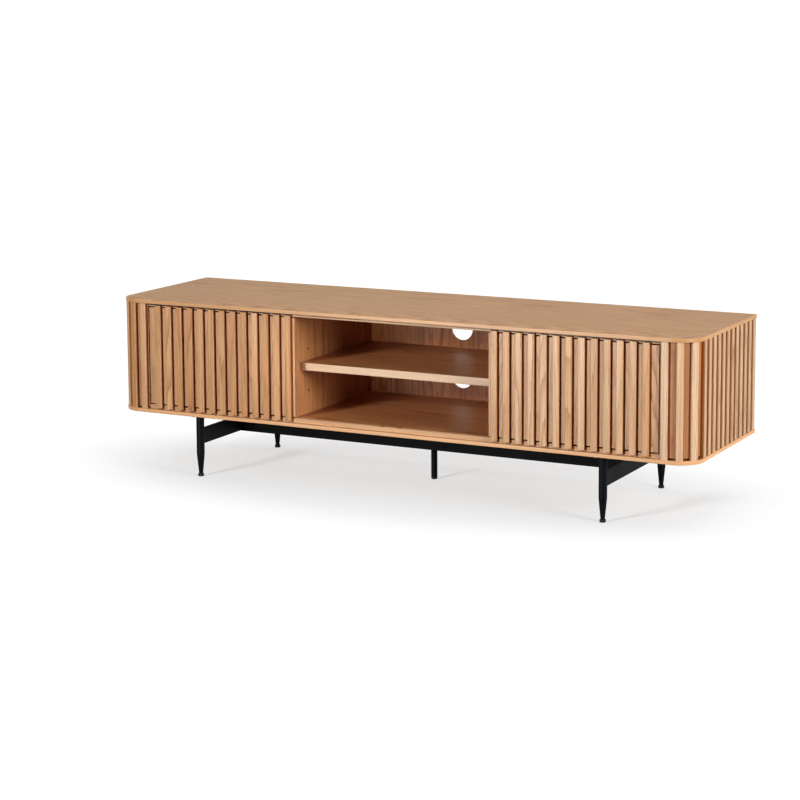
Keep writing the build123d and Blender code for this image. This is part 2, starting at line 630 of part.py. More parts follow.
for side, name in ((-1, "left_side_bar"), (1, "right_side_bar")):
    with BuildPart() as side_bar:
        with BuildSketch(Plane.XY.offset(BAR_LOW)):
            with Locations((side * LEG_X, 0)):
                Rectangle(BAR_T, 2 * LEG_Y)
        extrude(amount=BAR_H)
        chamfer(side_bar.edges().filter_by(Axis.Y), length=BAR_EDGE)
        # coped ends against the round legs
        with BuildSketch(Plane.XY.offset(BAR_LOW)):
            with Locations((side * LEG_X, -LEG_Y), (side * LEG_X, LEG_Y)):
                Circle(LEG_D / 2)
        extrude(amount=BAR_H, mode=Mode.SUBTRACT)
    side_bar.part.label = name
    export_step(side_bar.part, f"parts/{name}.step")

with BuildPart() as centre_rail:
    with BuildSketch(Plane.XY.offset(BAR_LOW)):
        Rectangle(2 * (LEG_X - BAR_T / 2), BAR_T)
    extrude(amount=BAR_H)
    chamfer(centre_rail.edges().filter_by(Axis.X), length=BAR_EDGE)
    # blind tapped holes for the bracket bolts, from behind
    with Locations(*[
        Location((sx * BRACKET_X + dx, BAR_T / 2, BOLT_Z), (90, 0, 0))
        for sx in (-1, 1) for dx in BOLT_DX
    ]):
        Cylinder(BOLT_R, BOLT_DEEP, align=UP, mode=Mode.SUBTRACT)
centre_rail.part.label = "centre_rail"
export_step(centre_rail.part, "parts/centre_rail.step")

# steel plates welded on the legs and screwed up into the lower slab
with BuildPart() as leg_plates:
    with BuildSketch(Plane.XY.offset(LEG_TOP)) as plates:
        with Locations(*[(x, y - sy * LEG_PLATE_IN) for x, y, sy in LEG_SPOTS]):
            RectangleRounded(*LEG_PLATE)
        with Locations(*PLATE_SCREW_SPOTS):
            Circle(SCREW_R, mode=Mode.SUBTRACT)
    extrude(amount=PLATE_T)
leg_plates.part.label = "leg_plates"
export_step(leg_plates.part, "parts/leg_plates.step")

with BuildPart() as centre_leg_plate:
    with BuildSketch(Plane.XY.offset(LEG_TOP)):
        with Locations((0, MID_LEG_Y)):
            RectangleRounded(*MID_PLATE)
        with Locations(*MID_SCREW_SPOTS):
            Circle(SCREW_R, mode=Mode.SUBTRACT)
    extrude(amount=PLATE_T)
centre_leg_plate.part.label = "centre_leg_plate"
export_step(centre_leg_plate.part, "parts/centre_leg_plate.step")

# angle brackets from the back of the rail up to the lower slab
with BuildPart() as rail_brackets:
    for sx in (-1, 1):
        with Locations((sx * BRACKET_X, BAR_T / 2, CLEARANCE_BELOW)):
            Box(BRACKET_W, PLATE_T, BRACKET_DROP, align=(Align.CENTER, Align.MIN, Align.MAX))
            Box(BRACKET_W, BRACKET_REACH, PLATE_T, align=(Align.CENTER, Align.MIN, Align.MAX))
    with Locations(*[(x, y, LEG_TOP) for x, y in BRACKET_SCREW_SPOTS]):
        Cylinder(SCREW_R, PLATE_T, align=UP, mode=Mode.SUBTRACT)
    with Locations(*[
        Location((sx * BRACKET_X + dx, BAR_T / 2, BOLT_Z), (-90, 0, 0))
        for sx in (-1, 1) for dx in BOLT_DX
    ]):
        Cylinder(BOLT_R, PLATE_T, align=UP, mode=Mode.SUBTRACT)
rail_brackets.part.label = "rail_brackets"
export_step(rail_brackets.part, "parts/rail_brackets.step")


# --- screws, bolts and dowels ------------------------------------------------------------
with BuildPart() as base_screws:
    # pan-head screws through the plates and brackets into the lower slab
    with Locations(*[(x, y, LEG_TOP) for x, y in UNDER_SCREWS]):
        Cylinder(SCREW_R, BASE_SCREW_L, align=UP)
        Cylinder(PAN_R, PAN_H, align=DOWN)
    fillet(base_screws.faces().group_by(Axis.Z)[0].edges(), radius=PAN_ROUND)
    with Locations(*[(x, y, LEG_TOP - PAN_H) for x, y in UNDER_SCREWS]):
        Box(CROSS_L, CROSS_W, PAN_H / 2, align=UP, mode=Mode.SUBTRACT)
        Box(CROSS_W, CROSS_L, PAN_H / 2, align=UP, mode=Mode.SUBTRACT)
base_screws.part.label = "base_screws"
export_step(base_screws.part, "parts/base_screws.step")

with BuildPart() as slab_screws:
    # countersunk screws: up into the floor board, and up into the top slab
    for z_head, length in ((SLAB_LOW, SLAB_SCREW_LOW), (CEILING, SLAB_SCREW_HIGH)):
        with Locations(*[(x, y, z_head) for x, y in SLAB_SCREWS]):
            Cone(SINK_R, SCREW_R, SINK, align=UP)
            Cylinder(SCREW_R, length, align=UP)
        with Locations(*[(x, y, z_head) for x, y in SLAB_SCREWS]):
            Box(CROSS_L, CROSS_W, SINK / 2, align=UP, mode=Mode.SUBTRACT)
            Box(CROSS_W, CROSS_L, SINK / 2, align=UP, mode=Mode.SUBTRACT)
slab_screws.part.label = "slab_screws"
export_step(slab_screws.part, "parts/slab_screws.step")

with BuildPart() as rail_bolts:
    # button-head bolts through the brackets into the back of the rail
    for sx in (-1, 1):
        for dx in BOLT_DX:
            spot = Location((sx * BRACKET_X + dx, BAR_T / 2 + PLATE_T, BOLT_Z), (90, 0, 0))
            with Locations(spot):
                Cylinder(BOLT_R, BOLT_DEEP + PLATE_T, align=UP)
                Cylinder(BUTTON_R, BUTTON_H, align=DOWN)
            with BuildSketch(Plane.XZ.offset(-BAR_T / 2 - PLATE_T - BUTTON_H)):
                with Locations((sx * BRACKET_X + dx, BOLT_Z)):
                    RegularPolygon(HEX_R, 6)
            extrude(amount=HEX_DEEP, mode=Mode.SUBTRACT)
rail_bolts.part.label = "rail_bolts"
export_step(rail_bolts.part, "parts/rail_bolts.step")

with BuildPart() as back_screws:
    for x, z in BACK_SCREWS:
        with Locations(Location((x, BOARD_BACK + BACK_T, z), (90, 0, 0))):
            Cylinder(BACK_SCREW_D / 2, BACK_SCREW_L, align=UP)
            Cylinder(BACK_HEAD_R, BACK_HEAD_H, align=DOWN)
            with Locations((0, 0, -BACK_HEAD_H)):
                Box(BACK_CROSS_L, BACK_CROSS_W, BACK_HEAD_H / 2, align=UP, mode=Mode.SUBTRACT)
                Box(BACK_CROSS_W, BACK_CROSS_L, BACK_HEAD_H / 2, align=UP, mode=Mode.SUBTRACT)
back_screws.part.label = "back_screws"
export_step(back_screws.part, "parts/back_screws.step")

with BuildPart() as dowels:
    with Locations(*[(x, y, FLOOR_TOP - DOWEL_BOARD) for x, y in DOWEL_SPOTS]):
        Cylinder(DOWEL_R, DOWEL_BOARD + DOWEL_UPRIGHT, align=UP)
    with Locations(*[(x, y, CEILING + DOWEL_BOARD) for x, y in DOWEL_SPOTS]):
        Cylinder(DOWEL_R, DOWEL_BOARD + DOWEL_UPRIGHT, align=DOWN)
dowels.part.label = "dowels"
export_step(dowels.part, "parts/dowels.step")
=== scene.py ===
"""Looks of the slatted oak media cabinet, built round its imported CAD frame.

Everything is in metres in the frame's own axes: +X right, +Y back, +Z up, the
floor at z = 0. The CAD nodes keep their shapes and get oak, steel, nylon and
rubber materials made only of nodes.
"""

import math
from typing import NamedTuple

import bpy
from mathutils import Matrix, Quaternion, Vector


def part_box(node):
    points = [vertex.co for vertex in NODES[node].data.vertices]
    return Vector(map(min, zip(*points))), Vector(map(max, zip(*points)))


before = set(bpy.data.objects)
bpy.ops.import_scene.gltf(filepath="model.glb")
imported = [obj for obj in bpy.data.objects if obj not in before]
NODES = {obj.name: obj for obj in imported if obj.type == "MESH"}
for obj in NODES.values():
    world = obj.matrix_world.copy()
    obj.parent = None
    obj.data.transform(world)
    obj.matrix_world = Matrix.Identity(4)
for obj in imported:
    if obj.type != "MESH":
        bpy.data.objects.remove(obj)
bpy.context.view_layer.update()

AXES = {"X": 0, "Y": 1, "Z": 2}
WHITE = (1.0, 1.0, 1.0)
BLACK = (0.0, 0.0, 0.0)


# --- node graphs ---------------------------------------------------------------------
class Graph:
    """The node tree of a material or world, with a short call for each kind used here."""

    def __init__(self, owner, output="ShaderNodeOutputMaterial"):
        owner.use_nodes = True
        self.owner = owner
        self.tree = owner.node_tree
        self.tree.nodes.clear()
        self.output = self.tree.nodes.new(output)

    def feed(self, socket, value):
        """Links a socket to another, or sets it to a number, vector or colour."""
        if isinstance(value, bpy.types.NodeSocket):
            self.tree.links.new(value, socket)
        elif isinstance(value, (tuple, list)) and len(value) == 3 and socket.type == "RGBA":
            socket.default_value = (*value, 1.0)
        else:
            socket.default_value = value

    def add(self, kind, inputs=None, **settings):
        node = self.tree.nodes.new(kind)
        for key, value in settings.items():
            setattr(node, key, value)
        for key, value in (inputs or {}).items():
            self.feed(node.inputs[key], value)
        return node

    def place(self):
        """The point's place, in metres."""
        return self.add("ShaderNodeTexCoord").outputs["Object"]

    def split(self, vector):
        return self.add("ShaderNodeSeparateXYZ", {0: vector}).outputs

    def vector(self, x, y, z):
        return self.add("ShaderNodeCombineXYZ", {0: x, 1: y, 2: z}).outputs[0]

    def math(self, operation, a, b=0.0, c=0.0):
        node = self.add("ShaderNodeMath", {0: a, 1: b, 2: c}, operation=operation)
        return node.outputs[0]

    def spread(self, chance, low, high):
        """A number from low to high, for a chance from 0 to 1."""
        return self.math("MULTIPLY_ADD", chance, high - low, low)

    def step(self, value, low, high, out_low=0.0, out_high=1.0):
        """Smooth step from out_low to out_high, as value goes from low to high."""
        spans = {"Value": value, "From Min": low, "From Max": high,
                 "To Min": out_low, "To Max": out_high}
        return self.add("ShaderNodeMapRange", spans, interpolation_type="SMOOTHSTEP").outputs[0]

    def noise(self, vector, scale=1.0, detail=2.0, roughness=0.5):
        inputs = {"Vector": vector, "Scale": scale, "Detail": detail, "Roughness": roughness}
        return self.add("ShaderNodeTexNoise", inputs).outputs[0]

    def random(self, value):
        """Three random numbers for a whole number."""
        node = self.add("ShaderNodeTexWhiteNoise", {"W": value}, noise_dimensions="1D")
        return self.add("ShaderNodeSeparateColor", {0: node.outputs["Color"]}).outputs[0:3]

    def ramp(self, value, stops):
        node = self.add("ShaderNodeValToRGB", {0: value})
        ramp = node.color_ramp
        while len(ramp.elements) < len(stops):
            ramp.elements.new(0.5)
        for element, (place, colour) in zip(ramp.elements, stops):
            element.position = place
            element.color = (*colour, 1.0)
        return node.outputs[0]

    def mix(self, factor, a, b, blend="MIX"):
        """Mixes two colours, whose sockets are numbers 6 and 7 of the Mix node."""
        inputs = {0: factor, 6: a, 7: b}
        node = self.add("ShaderNodeMix", data_type="RGBA", blend_type=blend, clamp_result=False)
        for key, value in inputs.items():
            self.feed(node.inputs[key], value)
        return node.outputs[2]

    def times(self, colour, factor):
        return self.mix(1.0, colour, factor, "MULTIPLY")

    def surface(self, colour, roughness, height=None, depth=0.0003, strength=0.5,
                glow=None, **constants):
        """The shader itself: constants go straight on its sockets."""
        shader = self.add(
            "ShaderNodeBsdfPrincipled", {"Base Color": colour, "Roughness": roughness}
        )
        for name, value in constants.items():
            socket = name.replace("_", " ").title().replace("Ior", "IOR")
            shader.inputs[socket].default_value = value
        if glow is not None:
            self.feed(shader.inputs["Emission Color"], glow)
        if height is not None:
            bump = self.add(
                "ShaderNodeBump", {"Height": height, "Strength": strength, "Distance": depth}
            )
            self.feed(shader.inputs["Normal"], bump.outputs[0])
        self.feed(self.output.inputs[0], shader.outputs[0])
        return self.owner


def material_graph(name):
    return Graph(bpy.data.materials.new(name))


# --- oak: the wood itself --------------------------------------------------------------
class Figure(NamedTuple):
    """A noise drawn out along the grain."""

    across: float  # how fast it changes across the grain, per metre
    along: float
    detail: float
    roughness: float = 0.5
    deep: float = 0.0  # how fast it changes into the board, when not as fast as across


SWAY = Figure(16.0, 3.2, 2.0)  # slow bend of the growth rings
WOBBLE = Figure(90.0, 9.0, 3.0)  # their small waves
STREAK = Figure(210.0, 5.0, 4.0, 0.6)
FIBRE = Figure(1500.0, 45.0, 2.0)
VESSEL = Figure(2300.0, 130.0, 1.0)
STAIN_BAND = Figure(95.0, 3.0, 3.0, 0.65, deep=20.0)

# the log that each board is cut from, in metres
PITH_ASIDE = 0.045  # the pith lies up to this far to either side of the board's middle
PITH_BEHIND = (0.018, 0.088)
TAPER = 0.025  # the rings widen or narrow along the board, per metre
SWAY_REACH = 0.030
WOBBLE_REACH = 0.0030
BOARD_SHIFT = 37.0  # the noises move up to this far from board to board
SECOND_DRAW = 71.0  # added to a board's seed for its second three random numbers

RING = 0.0024  # metres between growth rings
SLAT_RING = 0.0040  # faster grown wood
DIVIDER_RING = 0.0045

# colours of a growth ring, from the porous early wood to the dense late wood
OAK_RINGS = (
    (0.00, (0.420, 0.200, 0.080)),
    (0.16, (0.545, 0.300, 0.138)),
    (0.45, (0.625, 0.374, 0.194)),
    (0.85, (0.655, 0.402, 0.216)),
    (1.00, (0.605, 0.360, 0.184)),
)
OAK_MEAN = (0.600, 0.355, 0.182)
RING_BOLDNESS = (0.25, 0.90)  # how clearly the rings show, from board to board
CHANCE_SPAN = (0.1, 0.9)  # all but the ends of a random number's range
NOISE_SPAN = (0.2, 0.8)  # nearly all values of a noise lie in it
# a board's own tone, multiplied over its grain
OAK_TONES = (
    (0.00, (0.90, 0.86, 0.80)),
    (0.22, (1.00, 0.95, 0.88)),
    (0.45, (0.97, 0.98, 0.97)),
    (0.70, (1.04, 1.05, 1.08)),
    (0.88, (1.08, 1.14, 1.24)),
    (1.00, (0.94, 0.90, 0.84)),
)
STREAK_SPAN = (0.25, 0.75)
STREAK_SHADE = (-0.17, 0.13)  # darkest and palest streak
FIBRE_SHADE = (-0.07, 0.06)
EARLY_WOOD = (0.38, 0.02)  # shares of a ring, from late wood to early
LATE_VESSELS = 0.2  # share of the vessels in the late wood
VESSEL_EDGE = (0.56, 0.68)  # noise from the edge of a vessel to its middle
VESSEL_COLOUR = (0.29, 0.132, 0.052)
VESSEL_SHOWS = 0.40
STAIN_EDGE = (0.50, 0.66)
STAIN_COLOUR = (0.20, 0.095, 0.045)
KNOT_CELLS = 11.0  # cells per metre, each with one knot at most
KNOT_STRETCH = 0.8  # along the grain
KNOT_CHANCE = 0.72  # only a cell whose random number is above this has its knot
KNOT_EDGE = (0.026, 0.010)
KNOT_COLOUR = (0.16, 0.07, 0.03)
KNOT_SHOWS = 0.6
FIBRE_HEIGHT = 0.25
VESSEL_HEIGHT = 0.8
VESSEL_DULLS = 0.15  # added roughness
STREAK_GLOSS = 0.03  # roughness to either side
OAK_BUMP = {"depth": 0.0004, "strength": 0.45}
# edge banding: fine straight grain along the rim
RIM_ALONG = 5.0
RIM_UP = 900.0
RIM_DETAIL = {"detail": 4.0, "roughness": 0.6}
RIM_SHADES = ((0.25, 0.80), (0.50, 1.0), (0.75, 1.08))
RIM_NORMAL = (0.25, 0.60)  # upward part of the normal, from rim to flat

# --- oak: what is painted by place, painted shade among it -------------------------------
SLAT_PITCH = 0.0365
SLAT_WIDTH = 0.0194
CORNER_CENTRE = (0.830, -0.1775)  # of the right front corner; the left one is its mirror image
CORNER_STEP = math.radians(29.25)  # a new slat every so often
SLAT_FACE_R = 0.068  # from the corner's centre to the slat faces
GROOVE_SHADE_TINT = (0.66, 0.35, 0.14)  # painted shade: multiplied over the wood in the grooves, where shade falls
FLANK_SHADE_DEPTHS = (0.0008, 0.0085)  # depth below a slat's face, from no painted shade to full
FOOT_SHADE_REACH = 0.0050  # width of the painted shade beside a slat's foot
UNLIT = (0.012, 0.007, 0.004)  # painted shade inside holes and in the slit above the doors
HOLE_R = 0.0028
HOLE_SOFT = 0.0008
PIN_HOLES = [(y, z) for y in (-0.1485, 0.1695) for z in (0.270, 0.391)]
SLIT_SHADE_BAND = (0.3095, 0.4990)  # painted shade band above the doors: its start from the middle, and its height
SLIT_SOFT_X = 0.001
SLIT_SOFT_Z = 0.0003


class Board:
    """Where a point lies in its board of oak, and what chance gives that board.

    grain and across are the board's axes; every pitch along across, from start,
    is a new board. corner is the middle of a rounded corner, where the boards are
    counted by angle.
    """

    def __init__(self, g, grain, across, pitch, start, seed, corner):
        self.g = g
        self.axis = g.split(g.place())
        self.along = self.axis[AXES[grain]]
        self.side = self.axis[AXES[across]]
        self.depth = self.axis[3 - AXES[grain] - AXES[across]]
        if corner:
            angle = g.math("ARCTAN2", g.math("SUBTRACT", self.axis[0], corner[0]),
                           g.math("SUBTRACT", corner[1], self.axis[1]))
            number = g.math("FLOOR", g.math("DIVIDE", angle, CORNER_STEP))
            self.aside = self.side
        else:
            count = g.math("DIVIDE", g.math("SUBTRACT", self.side, start), pitch)
            number = g.math("FLOOR", count)
            part = g.math("SUBTRACT", g.math("SUBTRACT", count, number), 0.5)
            self.aside = g.math("MULTIPLY", part, pitch)
        self.first = g.random(g.math("ADD", number, seed))
        self.second = g.random(g.math("ADD", number, seed + SECOND_DRAW))
        self.shift = g.math("MULTIPLY", self.first[2], BOARD_SHIFT)

    def noise(self, figure):
        """A figure's noise, in another place on each board."""
        g = self.g
        place = g.vector(
            g.math("MULTIPLY_ADD", self.side, figure.across, self.shift),
            g.math("MULTIPLY", self.depth, figure.deep or figure.across),
            g.math("MULTIPLY", self.along, figure.along),
        )
        return g.noise(place, detail=figure.detail, roughness=figure.roughness)

    def ring(self, width):
        """How far a point lies through its growth ring, from 0 to 1."""
        g = self.g
        aside = g.math("ADD", self.aside, g.spread(self.first[0], -PITH_ASIDE, PITH_ASIDE))
        aside = g.math("MULTIPLY_ADD", self.noise(SWAY), SWAY_REACH, aside)
        behind = g.math("ADD", self.depth, g.spread(self.first[1], *PITH_BEHIND))
        radius = length(g, aside, behind)
        taper = g.spread(self.second[0], -TAPER, TAPER)
        radius = g.math("MULTIPLY_ADD", self.along, taper, radius)
        radius = g.math("MULTIPLY_ADD", self.noise(WOBBLE), WOBBLE_REACH, radius)
        return g.math("FRACT", g.math("DIVIDE", radius, width))

    def knots(self):
        """Rare pin knots: 1 in a knot, 0 outside."""
        g = self.g
        place = g.vector(g.math("MULTIPLY_ADD", self.side, 1.0, self.shift), 0.0,
                         g.math("MULTIPLY", self.along, KNOT_STRETCH))
        cells = g.add("ShaderNodeTexVoronoi", {"Vector": place, "Scale": KNOT_CELLS})
        draw = g.add("ShaderNodeSeparateColor", {0: cells.outputs[1]}).outputs[0]
        return g.math("MULTIPLY", g.step(cells.outputs[0], *KNOT_EDGE),
                      g.math("GREATER_THAN", draw, KNOT_CHANCE))


def length(g, a, b):
    squares = g.math("ADD", g.math("MULTIPLY", a, a), g.math("MULTIPLY", b, b))
    return g.math("SQRT", squares)


def flank_shade_mask(g, axis):
    """Painted shade: 1 on the flanks of the slats, deep in the grooves, and 0 on their faces."""
    beyond = g.math("SUBTRACT", g.math("ABSOLUTE", axis[0]), CORNER_CENTRE[0])
    ahead = g.math("SUBTRACT", CORNER_CENTRE[1], axis[1])
    out = length(g, g.math("MAXIMUM", beyond, 0.0), g.math("MAXIMUM", ahead, 0.0))
    return g.step(out, *(SLAT_FACE_R - depth for depth in FLANK_SHADE_DEPTHS))


def foot_shade_mask(g, axis, along, start, number):
    """Painted shade: 1 on a panel close beside the feet of its slats, a row of number slats from
    start.
    """
    row = g.math("DIVIDE", g.math("SUBTRACT", axis[AXES[along]], start), SLAT_PITCH)
    aside = g.math("ABSOLUTE", g.math("SUBTRACT", g.math("FRACT", row), 0.5))
    clear = g.math("MULTIPLY_ADD", aside, SLAT_PITCH, -SLAT_WIDTH / 2)
    from_middle = g.math("ABSOLUTE", g.math("SUBTRACT", row, number / 2))
    in_row = g.math("LESS_THAN", from_middle, number / 2)
    return g.math("MULTIPLY", g.step(clear, FOOT_SHADE_REACH, 0.0), in_row)


def drilled(g, axis, hole):
    """1 inside a hole drilled along X, which is painted dark as shade."""
    places = {0: g.vector(0.0, axis[1], axis[2]), 1: (0.0, *hole)}
    off = g.add("ShaderNodeVectorMath", places, operation="DISTANCE").outputs["Value"]
    return g.step(off, HOLE_R + HOLE_SOFT, HOLE_R)


def slit(g, axis, start, height):
    """1 where a board is painted dark, as the shade in the slit above the doors."""
    aside = g.step(g.math("ABSOLUTE", axis[0]), start - SLIT_SOFT_X, start)
    high = g.step(axis[2], height - SLIT_SOFT_Z, height + SLIT_SOFT_Z)
    return g.math("MULTIPLY", aside, high)


def edge_banding(g, axis, tint):
    """Banding glued round a lying board's rim: its colour, and 1 where the board is flat."""
    place = g.vector(g.math("MULTIPLY", axis[0], RIM_ALONG), g.math("MULTIPLY", axis[1], RIM_ALONG),
                     g.math("MULTIPLY", axis[2], RIM_UP))
    shades = [(stop, tuple(part * shade for part in tint)) for stop, shade in RIM_SHADES]
    colour = g.ramp(g.noise(place, **RIM_DETAIL), shades)
    normal = g.split(g.add("ShaderNodeNewGeometry").outputs["Normal"])
    return colour, g.step(g.math("ABSOLUTE", normal[2]), *RIM_NORMAL)


def oak(
    name, grain="Z", across="X", pitch=0.1, start=0.0, seed=0.0, corner=None,
    tint=WHITE, contrast=1.0, tones=1.0, edge=None, roughness=0.42, stain=0.0,
    slat=False, feet=None, holes=(), gap=None, ring_width=RING,
):
    """Oak cut from a log: rings about a far pith, vessels, fibres and a tone for each board.

    grain, across, pitch, start, seed and corner are the Board's. edge is the tint of
    edge banding on upright faces of a lying board. stain darkens wide bands along the
    grain. Shade is painted into the grooves: on the flanks of a slat, and on a panel
    beside the feet of its slats, where feet is the axis, start and number of their row.
    holes are the places of drilled holes, painted dark inside as shade. gap is the
    distance from the middle and the height from which a board is painted dark, as the
    shade in the slit above the doors.
    """
    g = material_graph(name)
    board = Board(g, grain, across, pitch, start, seed, corner)
    axis = board.axis

    ring = board.ring(ring_width)
    bold = g.step(board.second[2], *CHANCE_SPAN, *RING_BOLDNESS)
    bold = g.math("MULTIPLY", bold, contrast)
    wood = g.mix(bold, OAK_MEAN, g.ramp(ring, OAK_RINGS))

    # fibres and streaks along the grain
    streak = board.noise(STREAK)
    fibre = board.noise(FIBRE)
    dark, pale = (1.0 + shade * contrast for shade in STREAK_SHADE)
    shade = g.math("ADD", g.step(streak, *STREAK_SPAN, dark, pale),
                   g.step(fibre, *NOISE_SPAN, *FIBRE_SHADE))
    wood = g.times(wood, g.vector(shade, shade, shade))

    # open vessels: short dark dashes, thickest in the early wood
    early = g.step(ring, *EARLY_WOOD)
    pores = g.math("MULTIPLY", g.step(board.noise(VESSEL), *VESSEL_EDGE),
                   g.spread(early, LATE_VESSELS, 1.0))
    wood = g.mix(g.math("MULTIPLY", pores, VESSEL_SHOWS * contrast), wood, VESSEL_COLOUR)

    # each board's own tone
    wood = g.mix(tones, wood, g.times(wood, g.ramp(board.second[1], OAK_TONES)))

    if stain:
        band = g.step(board.noise(STAIN_BAND), *STAIN_EDGE)
        wood = g.mix(g.math("MULTIPLY", band, stain), wood, STAIN_COLOUR)
    # painted shade: the slats' flanks and the panel beside their feet are darkened where shade
    # falls in the grooves
    if slat:
        wood = g.mix(flank_shade_mask(g, axis), wood, g.times(wood, GROOVE_SHADE_TINT))
    if feet:
        wood = g.mix(foot_shade_mask(g, axis, *feet), wood, g.times(wood, GROOVE_SHADE_TINT))
    # painted shade inside the drilled holes
    for hole in holes:
        wood = g.mix(drilled(g, axis, hole), wood, UNLIT)
    # painted shade: a dark band on the top track, standing for the shaded slit above the doors
    if gap:
        wood = g.mix(slit(g, axis, *gap), wood, UNLIT)
    wood = g.mix(g.math("MULTIPLY", board.knots(), KNOT_SHOWS), wood, KNOT_COLOUR)

    height = g.math("SUBTRACT", g.math("MULTIPLY", fibre, FIBRE_HEIGHT),
                    g.math("MULTIPLY", pores, VESSEL_HEIGHT))
    if edge:
        rim, flat = edge_banding(g, axis, edge)
        wood = g.mix(flat, rim, wood)
        height = g.math("MULTIPLY", height, flat)
    if tint != WHITE:
        wood = g.times(wood, tint)
    gloss = g.step(streak, *NOISE_SPAN, roughness + STREAK_GLOSS, roughness - STREAK_GLOSS)
    gloss = g.math("MULTIPLY_ADD", pores, VESSEL_DULLS, gloss)
    return g.surface(wood, gloss, height, **OAK_BUMP)


# how wide the leaves of veneer or the boards are, and where their row starts
TOP_LEAVES = {"pitch": 0.16, "start": -0.262}
UPRIGHT_LEAVES = {"pitch": 0.11, "start": -0.9}
BACK_LEAVES = {"pitch": 0.095, "start": -0.9}
END_LEAVES = {"pitch": 0.12, "start": -0.25}
INNER_BOARDS = {"pitch": 0.15, "start": -0.25}
NARROW_STRIP = {"pitch": 0.2, "start": -0.3}  # wider than the strip, which is one board
RIM_ABOVE = (0.615, 0.350, 0.164)
RIM_BELOW = (0.775, 0.455, 0.232)
DOOR_SLATS = 13
END_SLATS = 12


def make_oaks():
    """Every wooden material, with the nodes that wear it."""

    def row_start(slats, axis):
        """Middle of the groove before a row's first slat."""
        low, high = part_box(slats)
        return low[AXES[axis]] - (SLAT_PITCH - SLAT_WIDTH) / 2

    door_left = row_start("left_door_slats", "X")
    door_right = row_start("right_door_slats", "X")
    side_start = row_start("right_side_slats", "Y")
    left_corner = (-CORNER_CENTRE[0], CORNER_CENTRE[1])
    slats = {"slat": True, "ring_width": SLAT_RING}
    return {
        oak("oak_top_veneer", "X", "Y", seed=3.0, contrast=0.7, tones=0.3, edge=RIM_ABOVE,
            roughness=0.40, **TOP_LEAVES): ["top_panel"],
        oak("oak_lower_slab", "X", "Y", seed=8.0, contrast=0.6, tones=0.4, edge=RIM_BELOW,
            **TOP_LEAVES): ["bottom_panel"],
        oak("oak_left_door", "Z", "X", SLAT_PITCH, door_left, 100.0,
            tint=(0.99, 0.92, 0.82), **slats): ["left_door_slats"],
        # paler, bluer tint than the left door's: painted sheen where the key light shines on the
        # right door
        oak("oak_right_door", "Z", "X", SLAT_PITCH, door_right, 223.0,
            tint=(1.09, 1.15, 1.24), contrast=0.85, **slats): ["right_door_slats"],
        oak("oak_left_side", "Z", "Y", SLAT_PITCH, side_start, 310.0,
            **slats): ["left_side_slats"],
        # paler, bluer tint than the left end's: painted sheen from the surround at the grazing
        # right end
        oak("oak_right_side", "Z", "Y", SLAT_PITCH, side_start, 402.0,
            tint=(1.02, 1.17, 1.36), **slats): ["right_side_slats"],
        oak("oak_left_corner", "Z", "X", seed=510.0, corner=left_corner,
            **slats): ["left_corner_slats"],
        # much paler, bluer tint than the left corner's: painted sheen from the lamps on the right
        # corner's slats
        oak("oak_right_corner", "Z", "X", seed=620.0, corner=CORNER_CENTRE,
            tint=(1.20, 1.46, 2.00), **slats): ["right_corner_slats"],
        oak("oak_left_door_back", "Z", "X", seed=700.0, tones=0.2,
            feet=("X", door_left, DOOR_SLATS), **UPRIGHT_LEAVES): ["left_door_panel"],
        oak("oak_right_door_back", "Z", "X", seed=705.0, tones=0.2, tint=(1.03, 1.06, 1.08),
            feet=("X", door_right, DOOR_SLATS), **UPRIGHT_LEAVES): ["right_door_panel"],
        # darker tint: painted shade on the shells, which show only as groove bottoms between the
        # corner slats
        oak("oak_corner_shells", "Z", "X", seed=710.0, tones=0.5, tint=(0.84, 0.73, 0.62),
            **UPRIGHT_LEAVES): ["left_corner_panel", "right_corner_panel"],
        # darker tint: painted shade in the grooves between the end slats, besides the painted shade
        # at their feet
        oak("oak_ends", "Z", "Y", seed=740.0, tones=0.5, tint=(0.82, 0.66, 0.50),
            feet=("Y", side_start, END_SLATS),
            **END_LEAVES): ["left_end_panel", "right_end_panel"],
        oak("oak_dividers", "Z", "Y", seed=743.0, contrast=0.9, tones=0.5,
            tint=(1.18, 1.07, 0.97), holes=PIN_HOLES, ring_width=DIVIDER_RING,
            **END_LEAVES): ["left_divider", "right_divider"],
        oak("oak_back", "Z", "X", seed=800.0, tones=0.7, stain=0.5, roughness=0.6,
            tint=(1.14, 0.89, 0.70),
            **BACK_LEAVES): ["back_panel_left", "back_panel_centre", "back_panel_right"],
        oak("oak_boards", "X", "Y", seed=850.0, tones=0.5, stain=0.35, roughness=0.36,
            tint=(1.0, 0.84, 0.70),
            **INNER_BOARDS): ["carcass_floor", "carcass_ceiling", "shelf"],
        oak("oak_lower_track", "X", "Y", seed=900.0, contrast=0.7,
            **NARROW_STRIP): ["bottom_track"],
        oak("oak_upper_track", "X", "Y", seed=900.0, contrast=0.7, gap=SLIT_SHADE_BAND,
            **NARROW_STRIP): ["top_track"],
        oak("oak_lipping", "X", "Y", seed=950.0, contrast=0.5, tones=0.3,
            tint=(1.08, 1.28, 1.66), **NARROW_STRIP): ["shelf_lipping"],
    }


# --- metal, nylon, rubber and dowels ------------------------------------------------------
# the colours and the roughness of each go from the low end of its noise to the high end
SOFT_SPAN = (0.3, 0.7)  # most values of a noise lie in it

PEBBLES = 1400.0  # per metre, as are the next four
COAT_CLOUDS = 9.0
DRAWING_MARKS = 900.0
MOULDED_SKIN = 600.0
FLECKS = (700.0, 700.0, 60.0)

